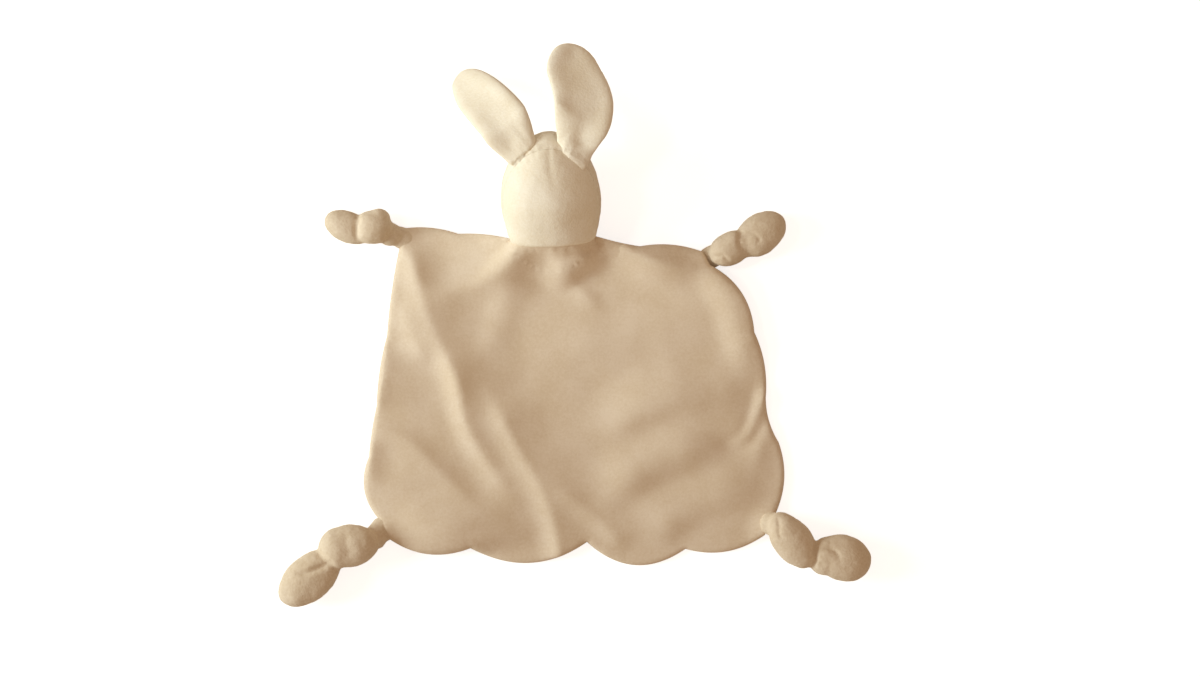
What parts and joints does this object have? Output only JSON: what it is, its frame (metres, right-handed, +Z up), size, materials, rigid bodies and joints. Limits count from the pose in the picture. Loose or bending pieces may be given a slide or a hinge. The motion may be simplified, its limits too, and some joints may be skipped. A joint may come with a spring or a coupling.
{
  "type": "comfort blanket",
  "caption": "Soft comfort blanket of cream velour with a stuffed rabbit's head, two long ears, scalloped edges and knotted corners.",
  "frame": {"origin": "middle of the footprint on the surface that the blanket lies on, under the middle of its bounding box", "axes": "+Z up from the surface to the face side, +Y from the bottom hem towards the head and ears, +X to the right seen from above"},
  "size_m": [0.359, 0.3378, 0.0523],
  "materials": {
    "velour": "cream knitted velour with a short dense pile",
    "fibre_filling": "white polyester fibre filling, hidden inside",
    "sewing_thread": "cream polyester thread"
  },
  "bodies": {
    "blanket": {"blanket_front_panel": "velour", "blanket_back_panel": "velour", "neck_gather": "velour"},
    "head": {"head_front_panel": "velour", "head_back_panel": "velour", "head_stuffing": "fibre_filling", "neck_gathering_thread": "sewing_thread"},
    "ear_left": {"ear_left_front_panel": "velour", "ear_left_back_panel": "velour", "ear_left_wadding": "fibre_filling"},
    "ear_right": {"ear_right_front_panel": "velour", "ear_right_back_panel": "velour", "ear_right_wadding": "fibre_filling"},
    "tie_hand_left": {"tie_hand_left": "velour"},
    "tie_hand_right": {"tie_hand_right": "velour"},
    "tie_foot_left": {"tie_foot_left": "velour"},
    "tie_foot_right": {"tie_foot_right": "velour"}
  },
  "joints": [
    {"name": "neck_fold", "type": "hinge", "parent": "blanket", "child": "head", "pos_m": [-0.01051, 0.049, 0.01734], "axis": [0.999, 0.0434, 0.0133], "range_deg": [-25, 42], "deforming": ["neck_gather"]},
    {"name": "ear_left_fold", "type": "hinge", "parent": "head", "child": "ear_left", "pos_m": [-0.03147, 0.09838, 0.04717], "axis": [0.712, 0.6715, 0.2053], "range_deg": [-20, 90]},
    {"name": "ear_right_fold", "type": "hinge", "parent": "head", "child": "ear_right", "pos_m": [0.00531, 0.09998, 0.04766], "axis": [0.7727, -0.607, -0.1856], "range_deg": [-20, 90]},
    {"name": "tie_hand_left_fold", "type": "hinge", "parent": "blanket", "child": "tie_hand_left", "pos_m": [-0.10348, 0.05205, 0.00571], "axis": [0.2419, 0.9703, 0], "range_deg": [-60, 90]},
    {"name": "tie_hand_right_fold", "type": "hinge", "parent": "blanket", "child": "tie_hand_right", "pos_m": [0.08361, 0.03885, 0.00571], "axis": [0.4848, -0.8746, 0], "range_deg": [-60, 90]},
    {"name": "tie_foot_left_fold", "type": "hinge", "parent": "blanket", "child": "tie_foot_left", "pos_m": [-0.11424, -0.12639, 0.00737], "axis": [-0.454, 0.891, 0], "range_deg": [-60, 90]},
    {"name": "tie_foot_right_fold", "type": "hinge", "parent": "blanket", "child": "tie_foot_right", "pos_m": [0.12194, -0.12406, 0.00731], "axis": [-0.454, -0.891, 0], "range_deg": [-60, 90]}
  ]
}
